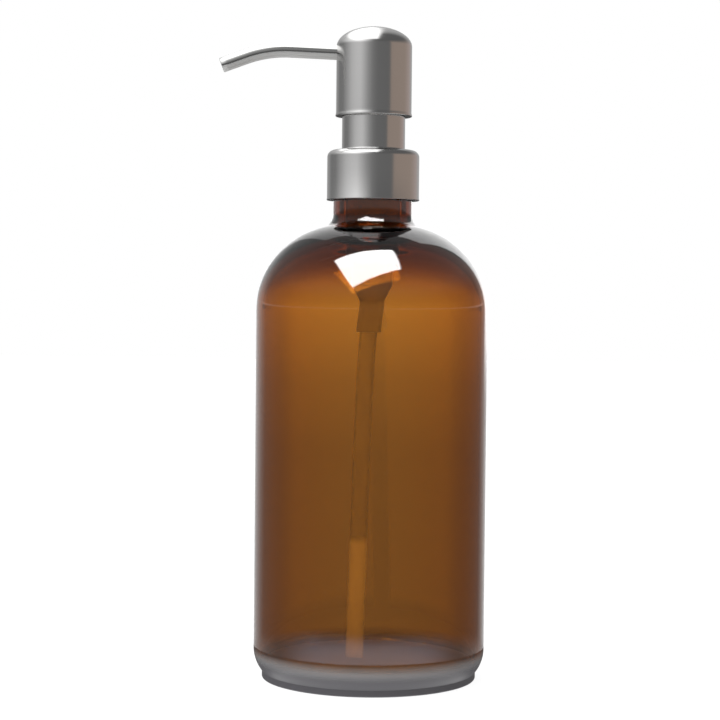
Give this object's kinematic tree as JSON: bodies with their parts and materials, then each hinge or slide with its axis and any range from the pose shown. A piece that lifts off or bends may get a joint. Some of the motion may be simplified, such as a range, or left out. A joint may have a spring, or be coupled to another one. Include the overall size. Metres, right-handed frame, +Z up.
{
  "type": "soap pump dispenser",
  "caption": "Amber glass Boston-round bottle with a threaded neck and a stainless steel soap pump: domed head, thin bent spout, sleeve, collar and dip tube.",
  "frame": {"origin": "on the bottle's axis, in the plane of its base ring", "axes": "+Z up the bottle's axis, spout along -X"},
  "size_m": [0.0876, 0.075, 0.2109],
  "materials": {
    "amber_glass": "smooth blown amber glass",
    "brushed_steel": "satin",
    "polished_steel": "polished",
    "bright_steel": "bright drawn",
    "pump_plastic": "moulded natural polypropylene",
    "stem_plastic": "smooth moulded",
    "cap_plastic": "moulded",
    "piston_plastic": "soft moulded polyethylene",
    "tube_plastic": "extruded natural polyethylene",
    "gasket_foam": "foamed liner"
  },
  "bodies": {
    "bottle": {"bottle": "amber_glass"},
    "pump_body": {"gasket": "gasket_foam", "pump_housing": "pump_plastic", "guide_bush": "pump_plastic", "spring_seat": "pump_plastic", "dip_tube": "tube_plastic"},
    "closure": {"closure_cap": "cap_plastic", "collar_shell": "brushed_steel"},
    "stem": {"stem": "stem_plastic", "stem_plug": "stem_plastic", "return_spring": "bright_steel"},
    "piston": {"piston_seal": "piston_plastic"},
    "head": {"head_shell": "brushed_steel", "head_core": "cap_plastic", "spout_tube": "polished_steel", "spout_liner": "tube_plastic"},
    "ball": {"check_ball": "bright_steel"}
  },
  "joints": [
    {"name": "pump_lift", "type": "slide", "parent": "bottle", "child": "pump_body", "axis": [0, 0, 1], "range_m": [0, 0.0054]},
    {"name": "closure_turn", "type": "hinge", "parent": "pump_body", "child": "closure", "pos_m": [0, 0, 0.16], "axis": [0, 0, 1], "range_deg": [0, 450]},
    {"name": "pump_stroke", "type": "slide", "parent": "pump_body", "child": "stem", "axis": [0, 0, -1], "range_m": [0, 0.01], "stiffness_N_per_m": 600, "springref_m": -0.008, "deforming": ["return_spring"]},
    {"name": "head_swivel", "type": "hinge", "parent": "stem", "child": "head", "pos_m": [0, 0, 0.19], "axis": [0, 0, 1], "continuous": true},
    {"name": "piston_slip", "type": "slide", "parent": "stem", "child": "piston", "axis": [0, 0, 1], "range_m": [0, 0.0008]},
    {"name": "ball_lift", "type": "slide", "parent": "pump_body", "child": "ball", "axis": [0, 0, 1], "range_m": [0, 0.0015]}
  ],
  "couplings": [
    {"joint": "pump_lift", "follows": "closure_turn", "m_per_rad": 0.00067375}
  ]
}
